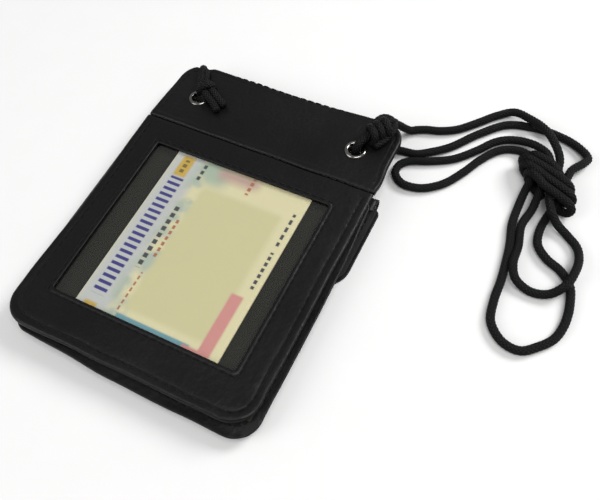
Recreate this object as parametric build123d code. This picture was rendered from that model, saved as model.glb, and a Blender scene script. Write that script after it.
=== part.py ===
from build123d import *
import os

# Neck pouch wallet, lying on its back. Millimetres, +Z up, z = 0 is the surface it rests on.
# x = 0 is the middle of the pouch, y = 0 is the seam between the window and the head panel.

# Driving dimensions
BODY_W = 92.5
BODY_TOP = 0.0
BODY_BOTTOM = -92.5
BODY_R = 9.0
HEAD_TOP = 31.5
HEAD_R = 9.0
LEAF_LEFT = -46.75
LEAF_RIGHT = 45.75
LEAF_BOTTOM = -91.0
LEAF_R = 9.5
WINDOW_LEFT = -35.3
WINDOW_RIGHT = 34.1
WINDOW_TOP = -9.8
WINDOW_BOTTOM = -76.7
CARD_W = 54.0
CARD_L = 85.6
CARD_T = 0.76
CARD_R = 3.18
CARD_TOP = -1.5
CARD_CENTRE_X = 0.3
EYELET_X = 32.5
EYELET_Y = 14.5
EYELET_HOLE_R = 2.4
BARREL_R = 2.7
EYELET_R = 4.5
BARREL_BOTTOM = 6.7
WASHER_T = 0.7
WASHER_R = 4.4
RIM = 3.5
POCKET_TOP = -0.9
HEAD_LOW = 0.9
CORD_R = 1.4
CORD_REST_Z = 1.45
BEND_SHARE = 0.49
STRAIGHT = 0.02
LIFT_X = 48.0
LEAD_END_X = 46.4
FLAP_W = 94.5
FLAP_BOTTOM = -34.0

# Heights of the layers, from the resting surface up
FLAP_LEATHER_TOP = 0.6
FLAP_LINING_TOP = 0.9
FLAP_HOOK_TOP = 1.6
REAR_LOOP_BOTTOM = 1.65
REAR_PANEL_BOTTOM = 2.3
BACK_BOTTOM = 4.6
BACK_TOP = 5.4
STIFFENER_TOP = 5.8
FACING_TOP = 6.6
HOOK_TOP = 6.9
SLIP_TOP = 7.05
LOOP_BOTTOM = 6.95
LINING_BOTTOM = 7.35
LINING_TOP = 7.65
BACKING_TOP = 7.9
CARD_BOTTOM = 8.0
FILM_BOTTOM = 9.0
FRAME_BOTTOM = 9.2
LEAF_TOP = 10.1

# Hinge lines
SPINE_X = -47.0
SPINE_Z = 6.9
SPINE_R = 0.7
FLAP_AXIS_Y = 1.4
FLAP_AXIS_Z = 1.4
FLAP_FOLD_R = 0.8

# Rear pocket: where its panel leaves the flap, reaches the table and rises to the bottom seam
REAR_MOUTH = -5.0
BELLY_START = -37.0
BELLY_TOP = -44.0
BELLY_BOTTOM = -84.0
REAR_BOTTOM = -91.5
REAR_SEAM_Z = 3.6
REAR_WALL = 0.7
REAR_RIM = 1.5

# Closure patches of the leaf
PATCH_LEFT = 33.0
PATCH_RIGHT = 42.0
PATCH_LOW = -62.0
PATCH_HIGH = -42.0
PATCH_R = 1.5

# Stitches
STITCH_INSET = 3.0
STITCH_L = 2.5
STITCH_W = 0.5
STITCH_H = 0.2
STITCH_PITCH = 3.6


def slab(width, length, x, y, bottom, top, radius=0.0):
    """A flat sheet with rounded corners, centred on x, y."""
    outline = RectangleRounded(width, length, radius) if radius else Rectangle(width, length)
    return Pos(x, y, bottom) * extrude(outline, top - bottom)


def sheet(left, right, low, high, bottom, top, radius=0.0):
    """A flat sheet between two x and two y limits."""
    return slab(right - left, high - low, (left + right) / 2, (low + high) / 2, bottom, top, radius)


def rounded_below(left, right, low, high, bottom, top, radius):
    """A sheet with square upper corners and rounded lower corners."""
    body = sheet(left, right, low, high, bottom, top, radius)
    return body + sheet(left, right, high - 2 * radius, high, bottom, top)


def cord(points):
    """A round cord: straight lengths joined by bends as open as the points allow."""
    spots = [Vector(*p) for p in points]
    edges = []
    last = spots[0]
    for before, corner, after in zip(spots, spots[1:], spots[2:]):
        back = (before - corner).normalized()
        ahead = (after - corner).normalized()
        reach = BEND_SHARE * min((before - corner).length, (after - corner).length)
        if (back + ahead).length < STRAIGHT:
            continue
        near = corner + back * reach
        far = corner + ahead * reach
        edges.append(Line(last, near))
        edges.append(TangentArc(near, far, tangent=back * -1))
        last = far
    edges.append(Line(last, spots[-1]))
    line = Wire(edges)
    ring = Plane(origin=line @ 0, z_dir=line % 0) * Circle(CORD_R)
    return sweep(ring, path=line)


def stitches(line, surface_z):
    """A run of separate stitches along a line, lying on the surface."""
    count = int(line.length / STITCH_PITCH)
    run = []
    for i in range(count):
        t = (i + 0.5) / count
        place = Plane(origin=line @ t, x_dir=line % t, z_dir=(0, 0, 1))
        body = Box(STITCH_L, STITCH_W, STITCH_H)
        run.append(Pos(0, 0, surface_z + STITCH_H / 2) * (place * body))
    return Compound(children=[solid for body in run for solid in body.solids()])


def eyelet_hole(x):
    """The round hole that an eyelet's barrel fills."""
    return Pos(x, EYELET_Y, LINING_BOTTOM) * Cylinder(
        BARREL_R, LEAF_TOP - LINING_BOTTOM, align=(Align.CENTER, Align.CENTER, Align.MIN)
    )


def body_sheet(bottom, top):
    """One leather layer of the back half."""
    return rounded_below(-BODY_W / 2, BODY_W / 2, BODY_BOTTOM, BODY_TOP, bottom, top, BODY_R)


def leaf_sheet(left, right, low, high, bottom, top, low_radius, high_radius):
    """A sheet the shape of the leaf and its head panel, rounded at all four corners."""
    middle = (low + high) / 2
    lower = sheet(left, right, low, middle + high_radius, bottom, top, low_radius)
    upper = sheet(left, right, middle - low_radius, high, bottom, top, high_radius)
    return lower + upper + sheet(left, right, middle - low_radius, middle + high_radius, bottom, top)


def back_panel():
    """Outer leather of the back half."""
    return body_sheet(BACK_BOTTOM, BACK_TOP)


def back_stiffener():
    """Thin board that keeps the back half flat."""
    half = BODY_W / 2 - RIM
    return sheet(-half, half, BODY_BOTTOM + RIM, BODY_TOP - RIM, BACK_TOP, STIFFENER_TOP, 6.0)


def front_facing():
    """Leather facing over the board, with its edges turned down round it."""
    return body_sheet(BACK_TOP, FACING_TOP) - back_stiffener()


def inner_slip_pocket():
    """A flat pocket on the facing, open at its top edge."""
    outer = sheet(-40.0, 30.0, -86.0, -30.0, FACING_TOP, SLIP_TOP)
    return outer - sheet(-38.0, 28.0, -84.0, -29.0, FACING_TOP, SLIP_TOP - 0.3)


def closure_hook_patch():
    """Hook half of the closure, on the facing."""
    return sheet(PATCH_LEFT, PATCH_RIGHT, PATCH_LOW, PATCH_HIGH, FACING_TOP, HOOK_TOP, PATCH_R)


def closure_loop_patch():
    """Loop half of the closure, on the leaf's lining."""
    return sheet(PATCH_LEFT, PATCH_RIGHT, PATCH_LOW, PATCH_HIGH, LOOP_BOTTOM, LINING_BOTTOM, PATCH_R)


def spine_fold():
    """The fold the leaf turns on: a roll of leather with a web down to the back."""
    length = -LEAF_BOTTOM - 4.0
    middle = LEAF_BOTTOM / 2
    roll = Pos(SPINE_X, middle, SPINE_Z) * Rot(90, 0, 0) * Cylinder(SPINE_R, length)
    web_left = -BODY_W / 2 - 0.6
    web = sheet(web_left, -BODY_W / 2, middle - length / 2 + 8, middle + length / 2, 5.0, SPINE_Z)
    return roll + web


def rear_profile(points):
    """A solid with this y-z outline, wider than the pouch."""
    face = make_face(Polyline(*[(0, y, z) for y, z in points], close=True))
    return extrude(face, 50.0, dir=(1, 0, 0), both=True)


def rear_pocket_panel():
    """A shallow pocket with closed sides and bottom, open towards the top behind the flap."""
    outer = rear_profile([
        (REAR_MOUTH, REAR_PANEL_BOTTOM), (BELLY_START, REAR_PANEL_BOTTOM), (BELLY_TOP, 0.0),
        (BELLY_BOTTOM, 0.0), (REAR_BOTTOM, REAR_SEAM_Z), (REAR_BOTTOM, BACK_BOTTOM),
        (REAR_MOUTH, BACK_BOTTOM),
    ])
    half = BODY_W / 2 - 0.5
    outline = sheet(-half, half, REAR_BOTTOM, 20.0, -1.0, BACK_BOTTOM, 8.5)
    mouth = REAR_MOUTH + 1.0
    roof = REAR_PANEL_BOTTOM + REAR_WALL
    inner_bottom = REAR_BOTTOM + REAR_RIM
    hollow = rear_profile([
        (mouth, roof), (BELLY_START - 0.3, roof), (BELLY_TOP - 0.2, REAR_WALL),
        (BELLY_BOTTOM + 0.2, REAR_WALL), (inner_bottom, REAR_SEAM_Z + 0.1),
        (inner_bottom, BACK_BOTTOM), (mouth, BACK_BOTTOM),
    ])
    side = half - REAR_RIM
    inside = sheet(-side, side, inner_bottom, 20.0, -1.0, BACK_BOTTOM, 7.0)
    return (outer & outline) - (hollow & inside)


def rear_pocket_loop_patch():
    """Loop half of the rear flap's closure, on the rear pocket."""
    return sheet(-15.0, 15.0, -31.0, -19.0, REAR_LOOP_BOTTOM, REAR_PANEL_BOTTOM, 1.5)


def flap_fold():
    """The fold the rear flap turns on: a roll with a web up to the back panel."""
    roll = Pos(0, FLAP_AXIS_Y, FLAP_AXIS_Z) * Rot(0, 90, 0) * Cylinder(FLAP_FOLD_R, 90.0)
    web = sheet(-45.0, 45.0, 1.1, 1.7, FLAP_AXIS_Z, BACK_BOTTOM + 0.6)
    return roll + web + sheet(-45.0, 45.0, 0.0, 1.7, BACK_BOTTOM, BACK_BOTTOM + 0.6)


def eyelet(x):
    """A domed ring on the front and a barrel through the head panel."""
    half = make_face(
        Polyline(
            (EYELET_HOLE_R, BARREL_BOTTOM), (BARREL_R, BARREL_BOTTOM), (BARREL_R, LEAF_TOP),
            (EYELET_R, LEAF_TOP), (EYELET_R - 0.3, LEAF_TOP + 0.45), (3.6, LEAF_TOP + 0.8),
            (2.9, LEAF_TOP + 0.75), (EYELET_HOLE_R, LEAF_TOP + 0.3), close=True,
        )
    )
    return Pos(x, EYELET_Y, 0) * revolve(Rot(90, 0, 0) * half, Axis.Z)


def eyelets():
    """Both eyelets."""
    return Compound(children=[s for x in (-EYELET_X, EYELET_X) for s in eyelet(x).solids()])


def eyelet_washers():
    """The flat rings behind the eyelets."""
    rings = []
    for x in (-EYELET_X, EYELET_X):
        disc = Pos(x, EYELET_Y, LINING_BOTTOM - WASHER_T / 2) * Cylinder(WASHER_R, WASHER_T)
        rings += (disc - Pos(x, EYELET_Y, LINING_BOTTOM) * Cylinder(BARREL_R, 4 * WASHER_T)).solids()
    return Compound(children=rings)


def head_stitching():
    """The row round three sides of the head panel."""
    left = LEAF_LEFT + STITCH_INSET
    right = LEAF_RIGHT - STITCH_INSET
    top = HEAD_TOP - STITCH_INSET
    edge = FilletPolyline((left, 3.0), (left, top), (right, top), (right, 3.0), radius=6)
    return stitches(edge, LEAF_TOP)


def seam_stitching():
    """The row across the face, where the card pocket ends and the head panel begins."""
    left = (LEAF_LEFT + STITCH_INSET, 0.0)
    right = (LEAF_RIGHT - STITCH_INSET, 0.0)
    return stitches(Line(left, right), LEAF_TOP)


def body_edge_stitching():
    """The row that joins facing, back panel and rear pocket."""
    side = BODY_W / 2 - 2.2
    low = BODY_BOTTOM + 2.2
    line = FilletPolyline((-side + 2, -3.0), (-side + 2, low), (side, low), (side, -3.0), radius=7)
    return stitches(line, FACING_TOP)


def cord_left_knot():
    """The tail, the turn over the eyelet and the turn over the top edge of the head panel."""
    return cord([(-21.5, 13.0, 11.6), (-27.0, 16.0, 12.0), (-32.5, 19.0, 12.7), (-37.5, 24.5, 12.3),
                 (-41.5, 30.2, 12.1), (-44.0, 34.4, 9.4), (-43.2, 33.4, 6.2), (-41.0, 29.6, 5.8),
                 (-39.0, 25.6, 5.8)])


def cord_left_lead():
    """From the left eyelet down behind the head panel and across to its right edge."""
    return cord([(-EYELET_X, EYELET_Y, 10.8), (-EYELET_X, EYELET_Y, 5.0), (-27.5, 15.9, 5.0),
                 (15.0, 22.6, 5.0), (35.0, 25.4, 2.6), (LEAD_END_X, 26.9, CORD_REST_Z)])


def cord_right_knot():
    """Three turns side by side round the standing cord, from the eyelet to the top corner."""
    lift = 14.4
    core_start = Vector(33.0, 17.0, lift)
    core_end = Vector(40.2, 30.3, lift)
    direction = (core_end - core_start).normalized()
    turns = []
    for i in range(3):
        centre = core_start + direction * (5.3 + 3.1 * i)
        place = Plane(origin=centre, z_dir=direction)
        turns += (place * Torus(2.85, CORD_R)).solids()
    stem = cord([(EYELET_X, EYELET_Y, 7.2), (EYELET_X, EYELET_Y, 11.0), (EYELET_X + 0.3, 15.6, 13.4),
                 (34.6, 19.9, lift), (36.4, 23.3, lift), (38.5, 27.2, 14.3), (39.9, 30.0, 13.4),
                 (40.7, 31.7, 12.0)])
    return Compound(children=turns + list(stem.solids()))


def cord_right_lead():
    """From the right knot over the corner and down to the table."""
    return cord([(41.0, 32.4, 11.2), (43.0, 35.0, 5.6), (44.2, 36.6, 2.2),
                 (LEAD_END_X, 37.9, CORD_REST_Z)])


def window_frame():
    """The leather face of the leaf and head panel in one piece, with edges turned down all round.

    The card pocket behind the window is open along the right edge.
    """
    whole = leaf_sheet(LEAF_LEFT, LEAF_RIGHT, LEAF_BOTTOM, HEAD_TOP, LINING_TOP, LEAF_TOP, LEAF_R, HEAD_R)
    pocket = sheet(
        LEAF_LEFT + RIM, LEAF_RIGHT + 1.0, LEAF_BOTTOM + RIM, POCKET_TOP, LINING_TOP, FRAME_BOTTOM
    )
    window = sheet(WINDOW_LEFT, WINDOW_RIGHT, WINDOW_BOTTOM, WINDOW_TOP, LINING_TOP, LEAF_TOP, 1.0)
    body = whole - pocket - window - head_stiffener(False)
    body = fillet(body.faces().sort_by(Axis.Z)[-1].outer_wire().edges(), 0.5)
    return body - eyelet_hole(EYELET_X) - eyelet_hole(-EYELET_X)


def head_stiffener(holes=True):
    """Board inside the head panel, which the eyelets are set through."""
    body = sheet(
        LEAF_LEFT + RIM, LEAF_RIGHT - RIM, HEAD_LOW, HEAD_TOP - RIM, LINING_TOP, FRAME_BOTTOM, 5.0
    )
    return body - eyelet_hole(EYELET_X) - eyelet_hole(-EYELET_X) if holes else body


def window_film():
    """Clear film glued behind the window's edge."""
    return sheet(-38.0, 37.0, -80.0, -6.0, FILM_BOTTOM, FRAME_BOTTOM)


def card_pocket_backing():
    """Cloth behind the card."""
    return sheet(-43.0, 44.5, -87.3, -1.1, LINING_TOP, BACKING_TOP, 1.5)


def leaf_lining():
    """Thin leather over the whole inner side of the leaf and the head panel."""
    body = leaf_sheet(
        -44.7, LEAF_RIGHT - 0.6, LEAF_BOTTOM + 0.8, HEAD_TOP - 0.8, LINING_BOTTOM, LINING_TOP, 8.5, 8.0
    )
    return body - eyelet_hole(EYELET_X) - eyelet_hole(-EYELET_X)


def leaf_edge_stitching():
    """The row along the left, bottom and right edges of the window part."""
    left = LEAF_LEFT + STITCH_INSET
    right = LEAF_RIGHT - STITCH_INSET
    low = LEAF_BOTTOM + STITCH_INSET
    line = FilletPolyline((left, -2.0), (left, low), (right, low), (right, -2.0), radius=6.5)
    return stitches(line, LEAF_TOP)


def window_stitching():
    """Four rows round the window."""
    left = WINDOW_LEFT - 1.5
    right = WINDOW_RIGHT + 1.5
    low = WINDOW_BOTTOM - 1.5
    high = WINDOW_TOP + 1.5
    sides = [Line((left, low), (left, high)), Line((left, high), (right, high)),
             Line((right, high), (right, low)), Line((right, low), (left, low))]
    return Compound(children=[s for side in sides for s in stitches(side, LEAF_TOP).solids()])


def id_card():
    """The card, in the standard identity card size."""
    middle_y = CARD_TOP - CARD_L / 2
    return slab(CARD_W, CARD_L, CARD_CENTRE_X, middle_y, CARD_BOTTOM, CARD_BOTTOM + CARD_T, CARD_R)


def flap_leather():
    """Outer leather of the rear flap."""
    return rounded_below(-FLAP_W / 2, FLAP_W / 2, FLAP_BOTTOM, 0.4, 0.0, FLAP_LEATHER_TOP, 8.0)


def flap_lining():
    """Thin leather on the flap's inner side."""
    return rounded_below(
        -FLAP_W / 2 + 1, FLAP_W / 2 - 1, FLAP_BOTTOM + 1, 0.2, FLAP_LEATHER_TOP, FLAP_LINING_TOP, 7.0
    )


def flap_hook_patch():
    """Hook half of the rear flap's closure."""
    return sheet(-15.0, 15.0, -30.0, -20.0, FLAP_LINING_TOP, FLAP_HOOK_TOP, 1.5)


def flap_stitching():
    """The row round the flap, on its inner side."""
    side = FLAP_W / 2 - STITCH_INSET
    low = FLAP_BOTTOM + STITCH_INSET
    line = FilletPolyline((-side, -1.0), (-side, low), (side, low), (side, -1.0), radius=5)
    return stitches(line, FLAP_LINING_TOP)


def neck_cord():
    """The free cord, as five runs that meet end to end inside the bundle."""
    rest = CORD_REST_Z
    level = 4.5
    upper = [(LIFT_X, 38.7, rest), (54, 41.2, rest), (60, 44.6, rest), (66, 51, rest),
             (71, 56.5, 1.6), (77, 59.8, 2.6), (84, 57.8, 4.4), (91, 53, 6.2), (96, 48, 5.8),
             (99, 42.5, 4.6), (99, 33, level)]
    second = [(LIFT_X, 27.2, rest), (55, 29.4, rest), (61, 33.9, rest), (69, 43.5, rest),
              (77, 51.3, rest), (84.5, 53.4, rest), (92, 53.6, rest), (101, 52, rest),
              (106.3, 48.2, 2.2), (105.5, 44, 3.7), (102.8, 39.5, level), (102.5, 33, level)]
    middle = [(95.5, 33, level), (95.3, 40, level), (93.5, 44.8, level), (89, 48.1, 4.3),
              (84, 49.2, 3.0), (78.5, 47.6, 1.8), (74.5, 43.8, rest), (70, 37.6, rest),
              (63.5, 30.6, rest), (56.5, 26.3, rest), (51.5, 23.4, rest), (49.5, 20.6, rest),
              (49.6, 16.8, rest), (52.5, 13.9, rest), (57.5, 13.9, rest), (64.5, 18.5, rest),
              (69.3, 26, rest), (73.2, 34.5, rest), (77.6, 41.2, rest), (82.4, 44.6, 1.6),
              (87.2, 44.2, 2.6), (90.8, 40.4, 4.1), (92, 33, level)]
    large = [(102.5, 33, level), (102.5, 28.3, 4.3), (102, 24, 2.7), (100.9, 19, 1.5),
             (100.5, 13.5, rest), (101.6, 8.2, rest), (105.6, 4.2, rest), (111.2, 1.5, rest),
             (115.3, -2.4, rest), (117.4, -9, rest), (118.2, -16.5, rest), (117, -22.8, rest),
             (113.4, -27.4, rest), (108.9, -30, rest), (103.3, -28.6, rest), (97.7, -23.4, rest),
             (94.7, -17, rest), (93.8, -9.8, rest), (93.7, -2.3, rest), (93, 4.9, rest),
             (90.8, 12.5, rest), (89.7, 20, 1.6), (90.6, 26.8, 3.2), (92, 33, level)]
    small = [(95.5, 33, level), (95.8, 27, 3.7), (95.9, 20.5, 1.9), (94.9, 13.5, rest),
             (96.6, 6, rest), (97.4, -0.9, rest), (100.2, -5.4, rest), (105.6, -7.4, rest),
             (110.8, -6.7, 2.4), (114.4, -3.9, 4.5), (116, 1, 4.6), (116.1, 7.4, 3),
             (114.4, 12.3, 1.8), (110.5, 15.5, 1.6), (106, 17.4, 3), (102.2, 19.8, 5.6),
             (99.9, 23.8, 5.7), (99, 28.5, 4.8), (99, 33, level)]
    runs = [cord(points) for points in (upper, second, middle, large, small)]
    ends = [Pos(*upper[0]) * Sphere(CORD_R), Pos(*second[0]) * Sphere(CORD_R)]
    runs[0] = runs[0] + ends[0]
    runs[1] = runs[1] + ends[1]
    return Compound(children=[s for run in runs for s in run.solids()])


def cord_bundle_wrap():
    """The turn of cord that goes once round the gathered runs."""
    return cord([(98, 33.2, 1.45), (94, 34.5, 1.42), (90, 35.8, 1.5), (87.0, 37.3, 2.3), (86.1, 37.7, 4.6),
                 (87.6, 37, 6.9), (92, 35.6, 7.65), (97, 34, 7.7), (103, 32, 7.6),
                 (107.6, 30.5, 6.7), (108.9, 29.9, 4.6), (107.9, 29.6, 2.5), (104.6, 30.8, 1.5),
                 (101.9, 31.9, 1.45)])


NODES = [
    back_panel, back_stiffener, front_facing, inner_slip_pocket, closure_hook_patch, spine_fold,
    rear_pocket_panel, rear_pocket_loop_patch, flap_fold, eyelets, eyelet_washers, head_stitching,
    seam_stitching, body_edge_stitching, cord_left_knot, cord_left_lead, cord_right_knot,
    cord_right_lead, window_frame, head_stiffener, window_film, card_pocket_backing, leaf_lining,
    closure_loop_patch, leaf_edge_stitching, window_stitching, id_card, flap_leather, flap_lining,
    flap_hook_patch, flap_stitching, neck_cord, cord_bundle_wrap,
]

os.makedirs("parts", exist_ok=True)
for node in NODES:
    export_step(node(), f"parts/{node.__name__}.step")
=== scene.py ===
import bisect
import math

import bmesh
import bpy
from mathutils import Matrix, Vector, noise


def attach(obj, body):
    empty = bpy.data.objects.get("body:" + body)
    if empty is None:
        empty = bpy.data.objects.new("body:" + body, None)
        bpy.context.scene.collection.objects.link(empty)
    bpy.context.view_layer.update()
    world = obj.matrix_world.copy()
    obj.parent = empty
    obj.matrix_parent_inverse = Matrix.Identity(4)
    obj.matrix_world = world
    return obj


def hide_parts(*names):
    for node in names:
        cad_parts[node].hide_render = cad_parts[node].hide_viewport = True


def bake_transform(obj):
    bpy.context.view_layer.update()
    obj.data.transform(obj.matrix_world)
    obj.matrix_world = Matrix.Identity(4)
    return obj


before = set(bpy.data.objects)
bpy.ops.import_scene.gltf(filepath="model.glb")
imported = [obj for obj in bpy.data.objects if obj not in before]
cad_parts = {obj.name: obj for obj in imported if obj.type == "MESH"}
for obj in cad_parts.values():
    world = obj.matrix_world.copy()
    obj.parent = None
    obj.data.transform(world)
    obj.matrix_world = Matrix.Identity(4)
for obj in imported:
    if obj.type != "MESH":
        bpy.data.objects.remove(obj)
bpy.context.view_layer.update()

# Sizes are in millimetres and are scaled to metres when a mesh is made. A box is
# (left, right, low, high): x grows to the right across the wallet and y towards the head panel.
MM = 0.001

# Window part of the leaf, and the head panel above the seam at y = 0
LEAF = (-46.3, 46, -91, 0.12)
LEAF_R = 9.5  # radius of its lower corners
LEAF_TOP = 10.1  # height of its outer face above the table
LEAF_UNDER = 7.65  # height of the leather's underside at the edges
LINING_UNDER = 7.35  # height of the lining's underside
FRAME_T = 0.9  # thickness of the leather round the window
WINDOW = (-35.3, 34, -75.9, -10.3)
HEAD = (-46, 46, 0.3, 30.9)
HEAD_R = 9  # radius of its upper corners
EYELET_X = 32.5
EYELET_Y = 14.5
HOLE_R = 2.75  # holes for the eyelets

# Back half
BODY = (-46.25, 47.7, -93.8, -0.6)
BODY_R = 8
FACING_TOP = 6.6  # height of its upper face
BODY_COUNTS = (44, 44, 12)

# The card, and the heights of its two faces
CARD_X = 0.3
CARD_Y = -44.3
CARD_SIZE = (54, 85.6)
CARD_R = 3.2
CARD_FACES = (8, 8.72)
CARD_BASE = (0.80, 0.71, 0.46)
PRINT_DULL = 0.29  # share of black mixed into the print

# Cord
CORD_R = 1.4
REST = 1.52  # height of its middle where it lies on the table
LEVEL = 4.5  # height of its middle inside the bundle
CORD_STEP = 0.26  # distance between its rings of points
CORD_SIDES = 32
BRAID_AROUND = 8  # strands round the cord
BRAID_PITCH = 2.6
BRAID_DEPTH = 0.30
UV_LENGTH = 100  # length of tube that takes one unit of its UV map
CURVE_PARTS = 24  # points worked out between two given points of a line

# Stitches, and the steps of a rounded leather edge
STITCH_LENGTH = 2.3
STITCH_PITCH = 3.1
STITCH_RADIUS = 0.24
STITCH_SIDES = 7
EDGE_STEPS = 4
FINE_INSETS = (0.5, 1.2, 1.9, 2.4, 2.8, 3.1, 3.4, 3.8, 4.6, 6)


# ---- small maths

def smooth(t):
    """Goes smoothly from 0 to 1 as t does."""
    t = min(max(t, 0.0), 1.0)
    return t * t * (3 - 2 * t)


def bump(t):
    """A smooth hump, 1 at t = 0 and 0 at t = -1 and 1."""
    return smooth(1.0 - abs(t))


def ripple(x, y, size, height, seed=0.0):
    """Gentle unevenness, the same on every run."""
    return height * noise.noise(Vector((x / size, y / size, seed)))


# ---- materials

class Shader:
    """A short way to write node materials."""

    def __init__(self, name):
        self.mat = bpy.data.materials.new(name)
        self.mat.use_nodes = True
        self.tree = self.mat.node_tree
        self.tree.nodes.clear()
        self.main = self.node("ShaderNodeBsdfPrincipled")
        self.out = self.node("ShaderNodeOutputMaterial", {0: self.main.outputs[0]})
        coords = self.node("ShaderNodeTexCoord")
        self.place = coords.outputs["Object"]
        self.uv = coords.outputs["UV"]

    def node(self, kind, inputs=None, **settings):
        made = self.tree.nodes.new(kind)
        for key, value in settings.items():
            setattr(made, key, value)
        for key, value in (inputs or {}).items():
            self.put(made.inputs[key], value)
        return made

    def put(self, socket, value):
        """A number, a colour or another node's output goes into a socket."""
        if isinstance(value, bpy.types.NodeSocket):
            self.tree.links.new(value, socket)
        elif socket.type == "RGBA" and len(value) == 3:
            socket.default_value = (*value, 1.0)
        else:
            socket.default_value = value

    def set(self, **values):
        """Fills the main shader's inputs; an underscore stands for a space."""
        for key, value in values.items():
            self.put(self.main.inputs[key.replace("_", " ")], value)

    def math(self, operation, a, b=0.0):
        return self.node("ShaderNodeMath", {0: a, 1: b}, operation=operation).outputs[0]

    def mix(self, factor, a, b):
        return self.node("ShaderNodeMix", {0: factor, 6: a, 7: b}, data_type="RGBA").outputs[2]

    def noise(self, scale, detail, rough, stretch=None):
        values = {"Vector": stretch or self.place, "Scale": scale, "Detail": detail, "Roughness": rough}
        return self.node("ShaderNodeTexNoise", values).outputs["Fac"]

    def cells(self, scale, feature="F1"):
        values = {"Vector": self.place, "Scale": scale}
        return self.node("ShaderNodeTexVoronoi", values, feature=feature).outputs["Distance"]

    def band(self, value, low, high):
        """Maps low..high to 0..1 and clamps."""
        return self.node("ShaderNodeMapRange", {0: value, 1: low, 2: high}).outputs[0]

    def bump(self, height, distance, strength, below=None):
        values = {"Strength": strength, "Distance": distance, "Height": height}
        if below:
            values["Normal"] = below
        return self.node("ShaderNodeBump", values).outputs[0]

    def split(self, vector):
        """The three parts of a vector."""
        return self.node("ShaderNodeSeparateXYZ", {0: vector}).outputs


def times(tone, factor):
    """A colour made lighter or darker."""
    return tuple(v * factor for v in tone)


def leather(name, tone, roughness, grain=1.0):
    """Black leather: fine pebble grain, faint creases and a patchy soft sheen."""
    s = Shader(name)
    pebble = s.cells(1500, "SMOOTH_F1")
    crease = s.noise(260, 6, 0.6)
    patch = s.noise(38, 3, 0.55)
    shade = s.mix(s.band(patch, 0.35, 0.7), times(tone, 0.75), times(tone, 1.3))
    shade = s.mix(s.band(pebble, 0.0, 0.55), shade, times(tone, 0.6))
    wave = s.bump(s.noise(75, 3, 0.6), 0.0012, 0.50 * grain)
    low = s.bump(crease, 0.00030, 0.75 * grain, wave)
    both = s.bump(pebble, 0.00007, 0.6 * grain, low)
    wear = s.math("ADD", s.math("MULTIPLY", patch, 0.22), roughness - 0.11)
    s.set(Base_Color=shade, Roughness=wear, Normal=both, Specular_IOR_Level=0.15)
    return s.mat


def woven(name, dark, light, pitch):
    """A plain weave of fine threads."""
    s = Shader(name)
    axes = s.split(s.place)
    turn = 2 * math.pi / pitch
    across = s.math("ABSOLUTE", s.math("SINE", s.math("MULTIPLY", axes[0], turn)))
    along = s.math("ABSOLUTE", s.math("SINE", s.math("MULTIPLY", axes[1], turn)))
    weave = s.math("MULTIPLY", across, along)
    grime = s.noise(220, 4, 0.6)
    shade = s.mix(weave, dark, light)
    shade = s.mix(s.math("MULTIPLY", grime, 0.5), shade, dark)
    s.set(Base_Color=shade, Roughness=0.85, Normal=s.bump(weave, 0.00002, 0.2), Specular_IOR_Level=0.12)
    return s.mat


def fuzz(name, tone):
    """Hook or loop tape: a dense pile of short fibres."""
    s = Shader(name)
    pile = s.cells(2600)
    tuft = s.noise(900, 4, 0.7)
    shade = s.mix(pile, times(tone, 2), tone)
    s.set(Base_Color=shade, Roughness=0.95, Normal=s.bump(s.math("ADD", pile, tuft), 0.0003, 0.9),
          Sheen_Weight=0.10, Specular_IOR_Level=0.12)
    return s.mat


def yarn(name, tone, twist):
    """Sewing thread: fine fibres that run round each stitch, from its UV map."""
    s = Shader(name)
    stretch = s.node("ShaderNodeMapping", {0: s.uv, "Scale": (twist, 40, 1.0)}).outputs[0]
    fibre = s.noise(1.0, 4, 0.5, stretch)
    speck = s.noise(2400, 3, 0.7)
    shade = s.mix(s.band(speck, 0.5, 0.78), tone, times(tone, 3))
    s.set(Base_Color=shade, Roughness=0.5, Normal=s.bump(s.math("ADD", fibre, speck), 0.00012, 0.7),
          Specular_IOR_Level=0.10)
    return s.mat


def braid():
    """Plaited cord: the colour has a painted highlight on the strands' crests, painted shade in the hollows
    between them and light specks that are painted glints.
    """
    s = Shader("cord_braid")
    axes = s.split(s.uv)
    run = s.math("MULTIPLY", axes[0], UV_LENGTH * 2 * math.pi / BRAID_PITCH)
    around = s.math("MULTIPLY", axes[1], BRAID_AROUND * math.pi)
    one_way = s.math("SINE", s.math("ADD", around, run))
    other_way = s.math("SINE", s.math("SUBTRACT", around, run))
    crest = s.math("ABSOLUTE", s.math("MULTIPLY", one_way, other_way))
    fibre = s.noise(2600, 3, 0.7)
    # painted highlight: the colour is lighter on the strands' crests; painted shade: darker in the hollows
    # between them
    shade = s.mix(s.band(crest, 0.15, 0.9), (0.0008, 0.0008, 0.0010), (0.0048, 0.0050, 0.0056))
    # painted glints: light specks put into the cord's colour where the fibre noise is high
    shade = s.mix(s.band(fibre, 0.62, 0.82), shade, (0.020, 0.020, 0.021))
    height = s.math("ADD", crest, s.math("MULTIPLY", fibre, 0.4))
    rough = s.math("SUBTRACT", 0.62, s.math("MULTIPLY", crest, 0.24))
    s.set(Base_Color=shade, Roughness=rough, Normal=s.bump(height, 0.00022, 0.7), Specular_IOR_Level=0.09)
    return s.mat


def nickel():
    """Plated metal with faint turning marks and rubbed patches."""
    s = Shader("nickel_plate")
    marks = s.noise(900, 3, 0.6)
    rub = s.noise(120, 3, 0.5)
    shade = s.mix(rub, (0.05, 0.049, 0.046), (0.34, 0.33, 0.31))
    rough = s.math("ADD", s.math("MULTIPLY", marks, 0.15), 0.10)
    s.set(Base_Color=shade, Metallic=1.0, Roughness=rough, Normal=s.bump(marks, 0.00003, 0.3))
    return s.mat


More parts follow.
